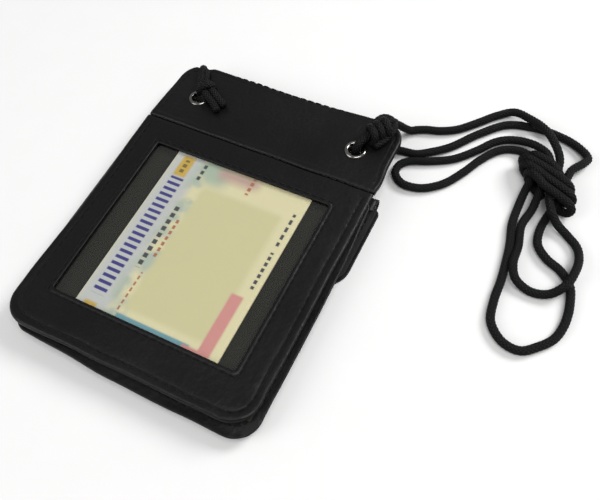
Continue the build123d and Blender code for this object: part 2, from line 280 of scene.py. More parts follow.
def board():
    """Grey stiffener board with a fibrous face."""
    s = Shader("stiffener_board")
    fibre = s.noise(700, 6, 0.7)
    shade = s.mix(fibre, (0.10, 0.09, 0.08), (0.24, 0.22, 0.19))
    s.set(Base_Color=shade, Roughness=0.9, Normal=s.bump(fibre, 0.0001, 0.5))
    return s.mat


def film():
    """Clear film: mostly see-through, with a thin gloss and slight haze."""
    s = Shader("clear_film")
    wave = s.noise(26, 2, 0.5)
    scuff = s.noise(420, 5, 0.7)
    clear = s.node("ShaderNodeBsdfTransparent", {0: (0.89, 0.90, 0.89, 1.0)}).outputs[0]
    shine = {"Roughness": 0.09, "Normal": s.bump(wave, 0.0012, 0.5)}
    gloss = s.node("ShaderNodeBsdfGlossy", shine).outputs[0]
    slant = s.node("ShaderNodeLayerWeight", {"Blend": 0.5}).outputs["Facing"]
    at_edge, head_on, scuffed = 0.6, 0.025, 0.008
    edge = s.math("MULTIPLY", s.math("POWER", slant, 4), at_edge)
    haze = s.math("MULTIPLY", s.band(scuff, 0.62, 0.8), scuffed)
    amount = s.math("ADD", s.math("ADD", edge, head_on), haze)
    s.put(s.out.inputs[0], s.node("ShaderNodeMixShader", {0: amount, 1: clear, 2: gloss}).outputs[0])
    s.tree.nodes.remove(s.main)
    return s.mat


def card_print():
    """A made-up card: tinted base, plain bars and dashes, a blank panel. Its marks are placed in
    millimetres from the card's middle, x across the short side and y along the long one."""
    s = Shader("card_print")
    axes = s.split(s.place)
    x = s.math("SUBTRACT", s.math("MULTIPLY", axes[0], 1000), CARD_X)
    y = s.math("SUBTRACT", s.math("MULTIPLY", axes[1], 1000), CARD_Y)

    def box(left, right, low, high, soft=0.15):
        """1 inside a rectangle and 0 outside it."""
        sides = [s.band(x, left - soft, left + soft), s.band(x, right + soft, right - soft),
                 s.band(y, low - soft, low + soft), s.band(y, high + soft, high - soft)]
        inside = sides[0]
        for side in sides[1:]:
            inside = s.math("MULTIPLY", inside, side)
        return inside

    def dashes(area, pitch):
        """Breaks a bar into plain, equal dashes."""
        wave = s.math("SINE", s.math("MULTIPLY", y, 2 * math.pi / pitch))
        return s.math("MULTIPLY", area, s.band(wave, -0.45, -0.25))

    tint = s.noise(45, 2, 0.5)
    shade = s.mix(tint, CARD_BASE, times(CARD_BASE, 1.06))
    white = (0.61, 0.605, 0.60)
    amber = (0.66, 0.43, 0.08)
    ink = (0.070, 0.070, 0.080)
    rust = (0.48, 0.17, 0.09)
    rose = (0.72, 0.31, 0.29)
    fog = s.band(s.noise(160, 2, 0.5), 0.42, 0.62)
    paint = [
        (box(-27.1, -15, -42.9, 42.9, 1.6), white),
        (s.math("MULTIPLY", box(-17, -8.5, -34, 42.9, 1.5), fog), (0.50, 0.55, 0.47)),
        (box(-10.5, 20.8, -27.5, 24, 1.1), (0.715, 0.648, 0.382)),
        (box(-14, -4, 26, 35, 2.4), (0.46, 0.54, 0.43)),
        (box(-8.5, 7.5, 29.6, 34, 2), (0.58, 0.38, 0.34)),
        (dashes(box(4.2, 5.5, 27, 34), 2.4), rust),
        (box(-23.9, -19.2, 24.6, 33.6, 0.5), amber),
        (dashes(box(-22.4, -20.8, 26, 32), 2.4), (0.22, 0.15, 0.05)),
        (box(-23.9, -19.2, -40, -30, 0.5), amber),
        (dashes(box(-14.9, -13.6, 25, 33), 2.6), ink),
        (dashes(box(-15.4, -13.7, -13, 13.2), 2.9), ink),
        (dashes(box(-12.1, -11, -8, 8.6), 2.4), rust),
        (dashes(box(-12.3, -11.6, -30, -14), 2.4), rust),
        (dashes(box(23.7, 24.9, -4.6, 10.2), 2.4), ink),
        (dashes(box(23.8, 24.9, 13, 26.6), 3.2), ink),
        (box(-11.5, 16, -34.5, -29.8, 0.3), (0.19, 0.38, 0.45)),
        (box(13.6, 23.4, -34.5, -30.3, 0.4), rose),
        (box(19.2, 23.6, -33, -8.4, 0.4), rose),
    ]
    heading_pitch = 2.55
    strokes = s.band(s.math("SINE", s.math("MULTIPLY", y, 2 * math.pi / heading_pitch)), -0.1, 0.25)
    paint.append((s.math("MULTIPLY", strokes, box(-23.9, -18.8, -26.8, 24, 0.25)), (0.050, 0.042, 0.24)))
    for area, colour in paint:
        shade = s.mix(area, shade, colour)
    shade = s.mix(PRINT_DULL, shade, (0.0, 0.0, 0.0))
    fine = s.noise(1200, 3, 0.6)
    s.set(Base_Color=shade, Roughness=0.32, Normal=s.bump(fine, 0.00001, 0.15))
    return s.mat


def floor_material():
    """A plain pale floor with a faint mottle."""
    s = Shader("pale_floor")
    grain = s.noise(60, 3, 0.5)
    shade = s.mix(grain, (0.476, 0.477, 0.474), (0.492, 0.493, 0.490))
    s.set(Base_Color=shade, Roughness=0.9, Specular_IOR_Level=0.1)
    return s.mat


BLACK = leather("black_leather", (0.0034, 0.0034, 0.0036), 0.40)
LINING = leather("lining_leather", (0.010, 0.0098, 0.0095), 0.62, 0.8)
THREAD = yarn("black_thread", (0.0030, 0.0030, 0.0030), 900)
BRAID = braid()
NICKEL = nickel()
FILM = film()
CLOTH = woven("backing_cloth", (0.0112, 0.0106, 0.0084), (0.0156, 0.0147, 0.0116), 0.0008)
HOOK = fuzz("hook_tape", (0.010, 0.010, 0.010))
LOOP = fuzz("loop_tape", (0.016, 0.016, 0.016))
BOARD = board()
CARD = card_print()


# ---- mesh tools

def show(made):
    """Puts an object in the scene."""
    bpy.context.scene.collection.objects.link(made)


def make(name, verts, faces, material, uvs=None):
    """A smooth-shaded mesh object from millimetre points."""
    mesh = bpy.data.meshes.new(name)
    mesh.from_pydata([(x * MM, y * MM, z * MM) for x, y, z in verts], [], faces)
    if uvs:
        layer = mesh.uv_layers.new(name="UVMap")
        for face in mesh.polygons:
            around = [uvs[v][1] for v in face.vertices]
            crosses_seam = max(around) - min(around) > 0.5
            for loop in face.loop_indices:
                u, v = uvs[mesh.loops[loop].vertex_index]
                layer.data[loop].uv = (u, v + 1.0 if crosses_seam and v < 0.5 else v)
    work = bmesh.new()
    work.from_mesh(mesh)
    bmesh.ops.remove_doubles(work, verts=work.verts, dist=1e-6)
    bmesh.ops.recalc_face_normals(work, faces=work.faces)
    work.to_mesh(mesh)
    work.free()
    mesh.shade_smooth()
    mesh.materials.append(material)
    made = bpy.data.objects.new(name, mesh)
    show(made)
    return made


def place(piece, body, node):
    """The piece rides on a body and stands for a CAD node."""
    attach(piece, body)
    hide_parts(node)


def rounded_loop(box, inset, radii, counts):
    """Points round a rectangle with rounded corners, always the same number of them."""
    left, right, low, high = box[0] + inset, box[1] - inset, box[2] + inset, box[3] - inset
    nx, ny, nc = counts
    corners = [(left, low, 1, 1, 180), (right, low, -1, 1, 270),
               (right, high, -1, -1, 0.0), (left, high, 1, -1, 90)]
    rings = []
    for (x, y, sx, sy, start), radius in zip(corners, radii):
        radius = max(radius - inset, 0.0)
        arc = []
        for i in range(nc + 1):
            angle = math.radians(start + 90 * i / nc)
            arc.append((x + sx * radius + radius * math.cos(angle),
                        y + sy * radius + radius * math.sin(angle)))
        rings.append(arc)
    points = []
    for side in range(4):
        points += rings[side]
        a = rings[side][-1]
        b = rings[(side + 1) % 4][0]
        steps = nx if side % 2 == 0 else ny
        for i in range(1, steps):
            t = i / steps
            points.append((a[0] + (b[0] - a[0]) * t, a[1] + (b[1] - a[1]) * t))
    return points


def skin(loops, closed=False):
    """Quads between loops that have the same number of points."""
    verts = [p for ring in loops for p in ring]
    faces = []
    n = len(loops[0])
    count = len(loops)
    for k in range(count if closed else count - 1):
        a = k * n
        b = ((k + 1) % count) * n
        for i in range(n):
            j = (i + 1) % n
            faces.append((a + i, a + j, b + j, b + i))
    return verts, faces


def flat(height):
    """A level face for a panel."""
    return lambda x, y, d: height


def parallel(surface, by):
    """A face that keeps its distance from another one."""
    return lambda x, y, d: surface(x, y) + by


def rolled_edge(edge):
    """Steps of a quarter turn: distance in from the edge, and share of the edge's height."""
    angles = [math.pi / 2 * i / EDGE_STEPS for i in range(EDGE_STEPS)]
    return [(edge * (1 - math.cos(angle)), 1 - math.sin(angle)) for angle in angles]


def panel(name, box, radii, top, bottom, edge, material, counts, warp=None, step=3):
    """A sheet of leather with rounded edges; top and bottom give its height at (x, y, inset)."""
    half = min(box[1] - box[0], box[3] - box[2]) / 2
    insets = [edge]
    for extra in FINE_INSETS:
        if edge < extra < half - 1:
            insets.append(extra)
    while insets[-1] + step < half - 0.5:
        insets.append(insets[-1] + step)
    insets.append(half - 1e-4)

    def ring(inset, height):
        out = []
        for x, y in rounded_loop(box, inset, radii, counts):
            if warp:
                x, y = warp(x, y)
            out.append((x, y, height(x, y, inset)))
        return out

    turn = rolled_edge(edge)
    loops = [ring(d, bottom) for d in reversed(insets)]
    loops += [ring(d, lambda x, y, _, a=a: bottom(x, y, edge) + edge * a) for d, a in reversed(turn)]
    loops += [ring(d, lambda x, y, _, a=a: top(x, y, edge) - edge * a) for d, a in turn]
    loops += [ring(d, top) for d in insets]
    verts, faces = skin(loops)
    return make(name, verts, faces, material)


def curve_through(points, step):
    """Evenly spaced points on a smooth line through the given ones."""
    pts = [Vector(p) for p in points]
    ends = [pts[0] * 2 - pts[1]] + pts + [pts[-1] * 2 - pts[-2]]
    fine = []
    for k in range(1, len(ends) - 2):
        p0, p1, p2, p3 = ends[k - 1], ends[k], ends[k + 1], ends[k + 2]
        t01 = max((p1 - p0).length, 1e-6) ** 0.5
        t12 = max((p2 - p1).length, 1e-6) ** 0.5
        t23 = max((p3 - p2).length, 1e-6) ** 0.5
        m1 = (p2 - p1) + t12 * ((p1 - p0) / t01 - (p2 - p0) / (t01 + t12))
        m2 = (p2 - p1) + t12 * ((p3 - p2) / t23 - (p3 - p1) / (t12 + t23))
        for i in range(CURVE_PARTS):
            t = i / CURVE_PARTS
            a = 2 * t ** 3 - 3 * t ** 2 + 1
            b = t ** 3 - 2 * t ** 2 + t
            c = -2 * t ** 3 + 3 * t ** 2
            d = t ** 3 - t ** 2
            fine.append(p1 * a + m1 * b + p2 * c + m2 * d)
    fine.append(pts[-1])
    total = [0.0]
    for a, b in zip(fine, fine[1:]):
        total.append(total[-1] + (b - a).length)
    count = max(2, int(round(total[-1] / step)))
    out = []
    k = 0
    for i in range(count + 1):
        want = total[-1] * i / count
        while k < len(total) - 2 and total[k + 1] < want:
            k += 1
        span = total[k + 1] - total[k]
        t = (want - total[k]) / span if span else 0.0
        out.append(fine[k].lerp(fine[k + 1], min(max(t, 0.0), 1.0)))
    return out


def tube(line, radius, sides, shape=None, caps=True):
    """Verts, faces and UVs of a tube; shape(distance, angle) adds to the radius."""
    verts, uvs = [], []
    tangent = (line[1] - line[0]).normalized()
    normal = tangent.orthogonal().normalized()
    run = 0.0
    for k, point in enumerate(line):
        here = line[min(k + 1, len(line) - 1)] - line[max(k - 1, 0)]
        here.normalize()
        normal = (normal - here * normal.dot(here)).normalized()
        side = here.cross(normal)
        if k:
            run += (point - line[k - 1]).length
        taper = 1.0
        if caps:
            near = min(k, len(line) - 1 - k)
            taper = (0.55, 0.85, 0.97)[near] if near < 3 else 1.0
        for i in range(sides):
            angle = 2 * math.pi * i / sides
            r = radius * taper + (shape(run, angle) * taper if shape else 0.0)
            verts.append(tuple(point + (normal * math.cos(angle) + side * math.sin(angle)) * r))
            uvs.append((run / UV_LENGTH, i / sides))
    faces = []
    for k in range(len(line) - 1):
        for i in range(sides):
            j = (i + 1) % sides
            a, b = k * sides, (k + 1) * sides
            faces.append((a + i, a + j, b + j, b + i))
    faces.append(tuple(reversed(range(sides))))
    last = (len(line) - 1) * sides
    faces.append(tuple(last + i for i in range(sides)))
    return verts, faces, uvs


def braid_shape(run, angle):
    """Height of the plaited strands on the cord's surface."""
    turn = 2 * math.pi * run / BRAID_PITCH
    a = math.sin((BRAID_AROUND * angle + turn * 2) / 2)
    b = math.sin((BRAID_AROUND * angle - turn * 2) / 2)
    return BRAID_DEPTH * (abs(a * b) ** 0.7 - 0.55)


def join(parts):
    """Puts lists of (verts, faces, uvs) together."""
    verts, faces, uvs = [], [], []
    for v, f, u in parts:
        base = len(verts)
        verts += v
        uvs += u
        faces += [tuple(base + i for i in face) for face in f]
    return verts, faces, uvs


def cords(name, *paths):
    """One or more lengths of cord as one piece."""
    tubes = []
    for path in paths:
        path = [p if len(p) == 3 else (*p, REST) for p in path]
        tubes.append(tube(curve_through(path, CORD_STEP), CORD_R, CORD_SIDES, braid_shape))
    verts, faces, uvs = join(tubes)
    return make(name, verts, faces, BRAID, uvs)


def stitch_row(name, paths, height, up=1.0):
    """Separate stitches whose ends go down into the leather."""
    parts = []
    for path in paths:
        line = curve_through(path, 0.25) if len(path) > 2 else [
            Vector(path[0]).lerp(Vector(path[1]), i / 200) for i in range(201)]
        lengths = [0.0]
        for a, b in zip(line, line[1:]):
            lengths.append(lengths[-1] + (b - a).length)
        count = max(1, int(lengths[-1] / STITCH_PITCH))
        pitch = lengths[-1] / count

        def at(distance):
            k = min(bisect.bisect_right(lengths, distance), len(lengths) - 1) - 1
            span = lengths[k + 1] - lengths[k]
            return line[k].lerp(line[k + 1], (distance - lengths[k]) / span if span else 0.0)

        for i in range(count):
            middle = (i + 0.5) * pitch
            spots = []
            for s in (-1.0, -0.86, -0.55, 0.0, 0.55, 0.86, 1.0):
                p = at(min(max(middle + s * STITCH_LENGTH / 2, 0.0), lengths[-1]))
                rise = up * (0.13 - 0.42 * abs(s) ** 5)
                spots.append(Vector((p.x, p.y, height(p.x, p.y) + rise)))
            parts.append(tube(spots, STITCH_RADIUS, STITCH_SIDES, None, False))
    verts, faces, uvs = join(parts)
    return make(name, verts, faces, THREAD, uvs)


def corner_path(box, inset, r):
    """A line down a rounded rectangle's left side, along its bottom and up its right side."""
    left, right, low, high = box[0] + inset, box[1] - inset, box[2] + inset, box[3] - inset
    diagonal = r * (1 - math.sqrt(0.5))
    line = [(left, high), (left, (high + low) / 2), (left, low + r),
            (left + diagonal, low + diagonal),
            (left + r, low), ((left + right) / 2, low), (right - r, low),
            (right - diagonal, low + diagonal),
            (right, low + r), (right, (high + low) / 2), (right, high)]
    return [(x, y, 0.0) for x, y in line]


# ---- height of the soft parts

def leaf_sag(x, y):
    """The leaf drops a little at its lower left, and the head panel towards its upper left."""
    low = -0.9 * smooth((-34 - x) / 13) * smooth((-4 - y) / 40)
    high = -1.5 * smooth((-12 - x) / 34) * smooth(y / 26)
    return low + high + ripple(x, y, 34, 0.16, 2)


def wobble(x, y):
    """Cut and turned edges are never quite straight."""
    return x + ripple(x, y, 13, 0.24, 11), y + ripple(x, y, 13, 0.30, 13)


def leaf_warp(x, y):
    """The leaf's lower left corner is pulled out a little."""
    return wobble(x - 1.1 * smooth((-34 - x) / 10) * smooth((-45 - y) / 30), y)


def leaf_top(x, y, inset=9):
    """Outer face of the leaf's leather, with its stitch groove and turned edge."""
    z = LEAF_TOP + leaf_sag(x, y)
    if y > -12:
        inset = max(inset, min(x - LEAF[0], LEAF[1] - x))
    if 0.95 < inset < 8:
        inset += ripple(x, y, 11, 0.3, 15)
    z += 0.14 * bump((inset - 1.3) / 1.6)
    z -= 0.13 * bump((inset - 3) / 0.6)
    z += 0.08 * bump((inset - 5.2) / 1.8)
    z += ripple(x, y, 22, 0.16, 21)
    z += ripple(x * 0.4, y, 5, 0.14, 4) * smooth((x - 32) / 8)
    z += ripple(x, y * 0.5, 6, 0.09, 6) * smooth((-80 - y) / 5)
    return z


def head_top(x, y, inset=9):
    """Front face of the head panel, with a ridge above the seam and curled side edges."""
    z = LEAF_TOP + leaf_sag(x, y)
    z += 0.28 * bump((y - 1.9) / 1.6)
    z += 0.5 * smooth((x - 37) / 9) * smooth((y - 3) / 7)
    z += ripple(x, y, 17, 0.12, 5)
    if y > 2.6:
        inset += ripple(x, y, 9, 0.5, 17)
        z -= 0.20 * bump((inset - 2.2) / 0.55)
        z += 0.14 * bump((inset - 1.1) / 1.2)
    return z


def head_warp(x, y):
    """The head panel's upper edge dips in the middle, and the left cord presses a dent into it."""
    bulge = 0.6 * bump((y - 5.5) / 7) * smooth((x - 22) / 22)
    dip = 2.3 * bump((x + 1.0) / 44) * smooth(y / 31)
    dent = 2 * bump((x + 38.6) / 4.6) * smooth((y - 22) / 8)
    return wobble(x + bulge, y - dip - dent)


def body_top(x, y):
    """Front face of the back half, which droops away from the leaf at the lower right."""
    droop = 1.5 * smooth((-83 - y) / 9) * smooth((x + 24) / 50)
    return FACING_TOP - droop + ripple(x, y, 30, 0.12, 7) - 0.06


def body_warp(x, y):
    """The back half lies a little askew under the leaf."""
    left_up = 1.9 * smooth((8 - x) / 54) * smooth((-60 - y) / 32)
    left_in = 2.3 * smooth((-30 - x) / 16) * smooth((-76 - y) / 16)
    upper_in = 1.5 * smooth((x - 20) / 26) * smooth((y + 34) / 30)
    return wobble(x - upper_in + left_in, y + left_up)


# ---- back half

def cut_eyelet_holes(target):
    """Cuts the two round holes through a layer of the head panel."""
    work = bmesh.new()
    for x in (-EYELET_X, EYELET_X):
        bmesh.ops.create_cone(
            work, cap_ends=True, segments=40, radius1=HOLE_R * MM, radius2=HOLE_R * MM,
            depth=30 * MM, matrix=Matrix.Translation((x * MM, EYELET_Y * MM, 7 * MM)))
    mesh = bpy.data.meshes.new("cutter")
    work.to_mesh(mesh)
    work.free()
    cutter = bpy.data.objects.new("cutter", mesh)
    show(cutter)
    cut = target.modifiers.new("holes", "BOOLEAN")
    cut.object = cutter
    cut.operation = "DIFFERENCE"
    cut.solver = "EXACT"
    bpy.context.view_layer.update()
    ready = target.evaluated_get(bpy.context.evaluated_depsgraph_get())
    done = bpy.data.meshes.new_from_object(ready)
    target.modifiers.clear()
    target.data = done
    bpy.data.objects.remove(cutter)


def build_back():
    """The facing, the back, the board between them and the flat pocket on the facing."""
    radii = (BODY_R, BODY_R + 1.0, 4.5, 2)

    def pleat(x, y):
        """Small folds where the leather is turned round the lower right corner."""
        away = smooth((x - 36) / 6) * smooth((-83 - y) / 6)
        return 0.16 * away * math.sin((x + y * 0.6) * 3.4)

    facing = panel(
        "front_facing_leather", BODY, radii,
        lambda x, y, d: body_top(x, y) + pleat(x, y) * smooth(2.5 - d),
        parallel(body_top, -0.9), 0.44, BLACK, BODY_COUNTS, body_warp)
    place(facing, "pouch_back", "front_facing")
    inner = (BODY[0] + 0.3, BODY[1] - 0.4, BODY[2] + 0.3, BODY[3])
    back = panel(
        "back_panel_leather", inner, radii,
        lambda x, y, d: body_top(x, y) - 0.94 - 0.28 * smooth(d - 2.6),
        parallel(body_top, -2), 0.38, BLACK, BODY_COUNTS, body_warp)
    place(back, "pouch_back", "back_panel")
    middle = (BODY[0] + 4.5, BODY[1] - 5, BODY[2] + 4.5, BODY[3] - 3)
    stiff = panel(
        "back_board", middle, (5, 5, 3, 3), parallel(body_top, -0.93), parallel(body_top, -1.18),
        0.1, BOARD, (44, 44, 8), body_warp)
    place(stiff, "pouch_back", "back_stiffener")
    slip = panel(
        "slip_pocket_leather", (-40, 30, -86, -30), (2.5, 2.5, 1.0, 1.0),
        parallel(body_top, 0.36), parallel(body_top, 0.02), 0.16, LINING, (36, 30, 6))
    place(slip, "pouch_back", "inner_slip_pocket")


def build_rear_pocket():
    """The rear pocket: flat under the flap, bellied below it, with steep gathered walls."""
    box = (-45.9, 47, -93.4, -5)
    radii = (8.5, 9, 0.8, 0.8)
    above_flap, above_table = 2.3, 0.06

    def under(x, y, inset):
        """Outer face of the pocket."""
        near = min(x - box[0], box[1] - x, y - box[2])
        wall = smooth((min(inset, near) - 0.3) / 3.6)
        belly = smooth((-35.5 - y) / 9)
        floor = above_flap * (1 - belly) + above_table * belly
        gather = 0.10 * math.sin((x - y) * 2.1) * smooth((-80 - y) / 6) * (1 - wall)
        return (body_top(x, y) - 2.75) * (1 - wall) + floor * wall + gather

    def over(x, y, inset):
        """Inner face of the pocket."""
        return min(under(x, y, inset) + 0.7, body_top(x, y) - 2.05)

    piece = panel("rear_pocket_leather", box, radii, over, under, 0.3, BLACK, BODY_COUNTS, body_warp, 2.4)
    place(piece, "pouch_back", "rear_pocket_panel")


def build_patches():
    """The hook-and-loop pieces keep their CAD shape and get a material with a short pile."""
    finish = {
        "closure_hook_patch": HOOK, "closure_loop_patch": LOOP, "flap_hook_patch": HOOK,
        "rear_pocket_loop_patch": LOOP,
    }
    for name, material in finish.items():
        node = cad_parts[name]
        for slot in node.material_slots:
            slot.material = material


def revolve(profile, segments):
    """Verts and faces of a closed profile turned round the z axis."""
    verts, faces = [], []
    n = len(profile)
    for k in range(segments):
        angle = 2 * math.pi * k / segments
        for r, z in profile:
            verts.append((r * math.cos(angle), r * math.sin(angle), z))
    for k in range(segments):
        m = (k + 1) % segments
        for i in range(n):
            j = (i + 1) % n
            faces.append((k * n + i, m * n + i, m * n + j, k * n + j))
    return verts, faces


def set_in_head(profile, segments, depth):
    """Turns a profile round both eyelet holes, tilted with the head panel."""
    parts = []
    reach = 3
    for x in (-EYELET_X, EYELET_X):
        verts, faces = revolve(profile, segments)
        z = head_top(x, EYELET_Y) - depth
        slope_x = (head_top(x + reach, EYELET_Y) - head_top(x - reach, EYELET_Y)) / (2 * reach)
        slope_y = (head_top(x, EYELET_Y + reach) - head_top(x, EYELET_Y - reach)) / (2 * reach)
        placed = [(vx + x, vy + EYELET_Y, vz + z + vx * slope_x + vy * slope_y) for vx, vy, vz in verts]
        parts.append((placed, faces, [(0.0, 0.0)] * len(placed)))
    return join(parts)


def build_eyelets():
    """Rolled rings with a barrel, and the flat washers behind them."""
    segments = 56
    roll_parts = 12
    ring = []
    for i in range(roll_parts + 1):
        angle = math.pi * (1 - i / roll_parts)
        ring.append((3.25 + 0.75 * math.cos(angle), 0.02 + 0.62 * math.sin(angle)))
    ring += [(3.95, -0.12), (2.72, -0.12), (2.68, -3.3), (2.42, -3.3)]
    verts, faces, _ = set_in_head(ring, segments, 0.0)
    piece = make("eyelet_rings", verts, faces, NICKEL)
    place(piece, "window_leaf", "eyelets")
    washer = [(2.75, 0.0), (2.75, 0.3), (3.4, 0.42), (4.2, 0.32),
              (4.4, 0.0), (4.3, -0.12), (3.4, -0.22), (2.9, -0.14)]
    verts, faces, _ = set_in_head(washer, segments, LEAF_TOP - LINING_UNDER + 0.42)
    back = make("eyelet_washer_rings", verts, faces, NICKEL)
    place(back, "window_leaf", "eyelet_washers")


def build_back_stitches():
    """Stitches along the left, lower and right edges of the facing."""
    line = corner_path((BODY[0] + 2, BODY[1] - 0.6, BODY[2] + 1.2, -3), 2.2, 7)
    row = stitch_row("body_edge_stitches", [line], body_top)
    place(row, "pouch_back", "body_edge_stitching")


# ---- front leaf

def build_leaf():
    """The leather round the window: one closed skin from the window's edge, under and round the
    outer edge and back over the face, with its stitches."""
    counts = (60, 60, 12)
    outer = (LEAF_R, LEAF_R, 0.7, 0.7)
    window_r = 1.0
    edge = 0.95
    lip = 0.4
    lip_steps = 3
    outer_row, window_row = 3, 1.6

    def outside(inset, height):
        points = [leaf_warp(x, y) for x, y in rounded_loop(LEAF, inset, outer, counts)]
        return [(x, y, height(x, y, inset)) for x, y in points]

    def wall(inset, height):
        """The pocket's side wall; its upper side stands just above the card."""
        box = (LEAF[0], LEAF[1], LEAF[2], LEAF[3] + 2.4)
        return [(x, y, height(x, y, inset)) for x, y in rounded_loop(box, inset, outer, counts)]

    def inside(offset, height):
        radii = (window_r + offset,) * 4
        box = (WINDOW[0] - offset, WINDOW[1] + offset, WINDOW[2] - offset, WINDOW[3] + offset)
        return [(x, y, height(x, y, offset)) for x, y in rounded_loop(box, 0.0, radii, counts)]

    def under(x, y, d):
        """Underside of the leather, raised along the right side where the card slides out."""
        mouth = smooth((x - 40.6) / 1.2) * smooth((y + 88.6) / 1.2) * smooth(-0.2 - y)
        return LEAF_UNDER + leaf_sag(x, y) + (LEAF_TOP - FRAME_T - LEAF_UNDER) * mouth

    def turned(x, y):
        """How high the rounded edge is."""
        return min(edge, (leaf_top(x, y, edge) - under(x, y, edge)) / 2)

    def web(x, y, d):
        """Underside of the leather round the window."""
        return LEAF_TOP - FRAME_T + leaf_sag(x, y)

    def rim(x, y, offset):
        """Outer face near the window, with its stitch groove."""
        z = LEAF_TOP + leaf_sag(x, y)
        return z + 0.10 * bump((offset - 0.7) / 0.8) - 0.13 * bump((offset - 1.6) / 0.55)

    loops = [inside(0.5, web), inside(2, web), wall(3.6, web), wall(3.5, under), outside(edge, under)]
    turn = rolled_edge(edge)
    for inset, a in reversed(turn):
        loops.append(outside(inset, lambda x, y, d, a=a: under(x, y, d) + a * turned(x, y)))
    for inset, a in turn:
        loops.append(outside(inset, lambda x, y, d, a=a: leaf_top(x, y, edge) - a * turned(x, y)))
    for inset in (edge, 1.4, 2, 2.4, 2.7, 3, 3.3, 3.6, 4.2, 5, 6):
        loops.append(outside(inset, leaf_top))
    for offset in (4.2, 3.2, 2.4, 2, 1.75, 1.5, 1.25, 1.0, 0.7, lip):
        loops.append(inside(offset, rim))
    for i in range(1, lip_steps + 1):
        angle = math.pi / 2 * i / lip_steps
        loops.append(inside(lip * (1 - math.sin(angle)),
                            lambda x, y, d, a=lip * (1 - math.cos(angle)): rim(x, y, lip) - a))
    loops.append(inside(0.0, lambda x, y, d: web(x, y, d) + 0.1))
    verts, faces = skin(loops, True)
    piece = make("leaf_leather", verts, faces, BLACK)
    place(piece, "window_leaf", "window_frame")

    line = corner_path(LEAF, outer_row, LEAF_R - outer_row)
    row = stitch_row("leaf_edge_stitches", [line], lambda x, y: leaf_top(x, y, outer_row))
    place(row, "window_leaf", "leaf_edge_stitching")

    left, right = WINDOW[0] - window_row, WINDOW[1] + window_row
    low, high = WINDOW[2] - window_row, WINDOW[3] + window_row
    corners = [(left, low, 0), (left, high, 0), (right, high, 0), (right, low, 0)]
    sides = [[corners[i], corners[(i + 1) % 4]] for i in range(4)]
    window = stitch_row("window_stitches", sides, lambda x, y: rim(x, y, window_row))
    place(window, "window_leaf", "window_stitching")


def build_head():
    """The head panel: its leather, the board inside it, and the stitches round it and on the seam."""
    face = panel("head_leather", HEAD, (0.4, 0.4, HEAD_R, HEAD_R), head_top,
                 lambda x, y, d: head_top(x, y) - FRAME_T - 1.5 * smooth(3.6 - d),
                 0.8, BLACK, (60, 26, 12), head_warp, 2)
    cut_eyelet_holes(face)
    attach(face, "window_leaf")
    inner = (HEAD[0] + 3.8, HEAD[1] - 3.8, HEAD[2] + 1.5, HEAD[3] - 3.8)
    stiff = panel("head_board", inner, (0.9, 0.9, 5, 5), parallel(head_top, -FRAME_T - 0.05),
                  parallel(head_top, -2.3), 0.2, BOARD, (40, 16, 6), head_warp)
    cut_eyelet_holes(stiff)
    place(stiff, "window_leaf", "head_stiffener")

    inset = 2.2
    r = HEAD_R - inset
    left, right, high = HEAD[0] + inset, HEAD[1] - inset, HEAD[3] - inset
    d = r * (1 - math.sqrt(0.5))
    line = [(left, 4, 0), (left, 13, 0), (left, high - r, 0), (left + d, high - d, 0),
            (left + r, high, 0), (0, high, 0), (right - r, high, 0), (right - d, high - d, 0),
            (right, high - r, 0), (right + 0.6, 13, 0), (right + 0.1, 4, 0)]
    row = stitch_row("head_stitches", [line], lambda x, y: head_top(x, y, inset))
    place(row, "window_leaf", "head_stitching")
    seam_line = [(-44.5, 0.28, 0), (44.6, 0.28, 0)]
    seam = stitch_row("seam_stitches", [seam_line], lambda x, y: LEAF_TOP + leaf_sag(x, y) - 0.32)
    place(seam, "window_leaf", "seam_stitching")


def thin_sheet(name, box, height, thick, material):
    """A thin soft sheet with a closed edge."""
    return panel(name, box, (0.6,) * 4, parallel(height, thick), parallel(height, 0.0), thick * 0.45,
                 material, (30, 30, 4))


def build_leaf_layers():
    """The clear film, the cloth behind the card, and the leaf's lining."""
    clear = thin_sheet("window_film_sheet", (-38, 37, -80, -6),
                       lambda x, y: 8.98 + leaf_sag(x, y) * 0.9 + ripple(x, y, 20, 0.10, 9), 0.16, FILM)
    place(clear, "window_leaf", "window_film")
    cloth = thin_sheet("pocket_backing_cloth", (-42.4, 45, -87.3, -1.0),
                       lambda x, y: 7.62 + leaf_sag(x, y) * 0.9, 0.24, CLOTH)
    place(cloth, "window_leaf", "card_pocket_backing")
    gap = 0.02

    def lining_face(height):
        return lambda x, y, d: height + leaf_sag(x, y) * 0.98 - gap

    lining = panel("leaf_lining_leather", (-44.9, 45.2, -90.3, 30.8), (8, 8, 8.2, 8.2),
                   lining_face(LEAF_UNDER), lining_face(LINING_UNDER), 0.12, LINING, (30, 40, 10))
    cut_eyelet_holes(lining)
    place(lining, "window_leaf", "leaf_lining")


def build_card():
    """The printed card."""
    wide, tall = CARD_SIZE
    box = (CARD_X - wide / 2, CARD_X + wide / 2, CARD_Y - tall / 2, CARD_Y + tall / 2)
    low, high = CARD_FACES
    piece = panel("printed_card", box, (CARD_R,) * 4, flat(high), flat(low), 0.12, CARD, (10, 16, 8))
    place(piece, "id_card", "id_card")


# ---- folds

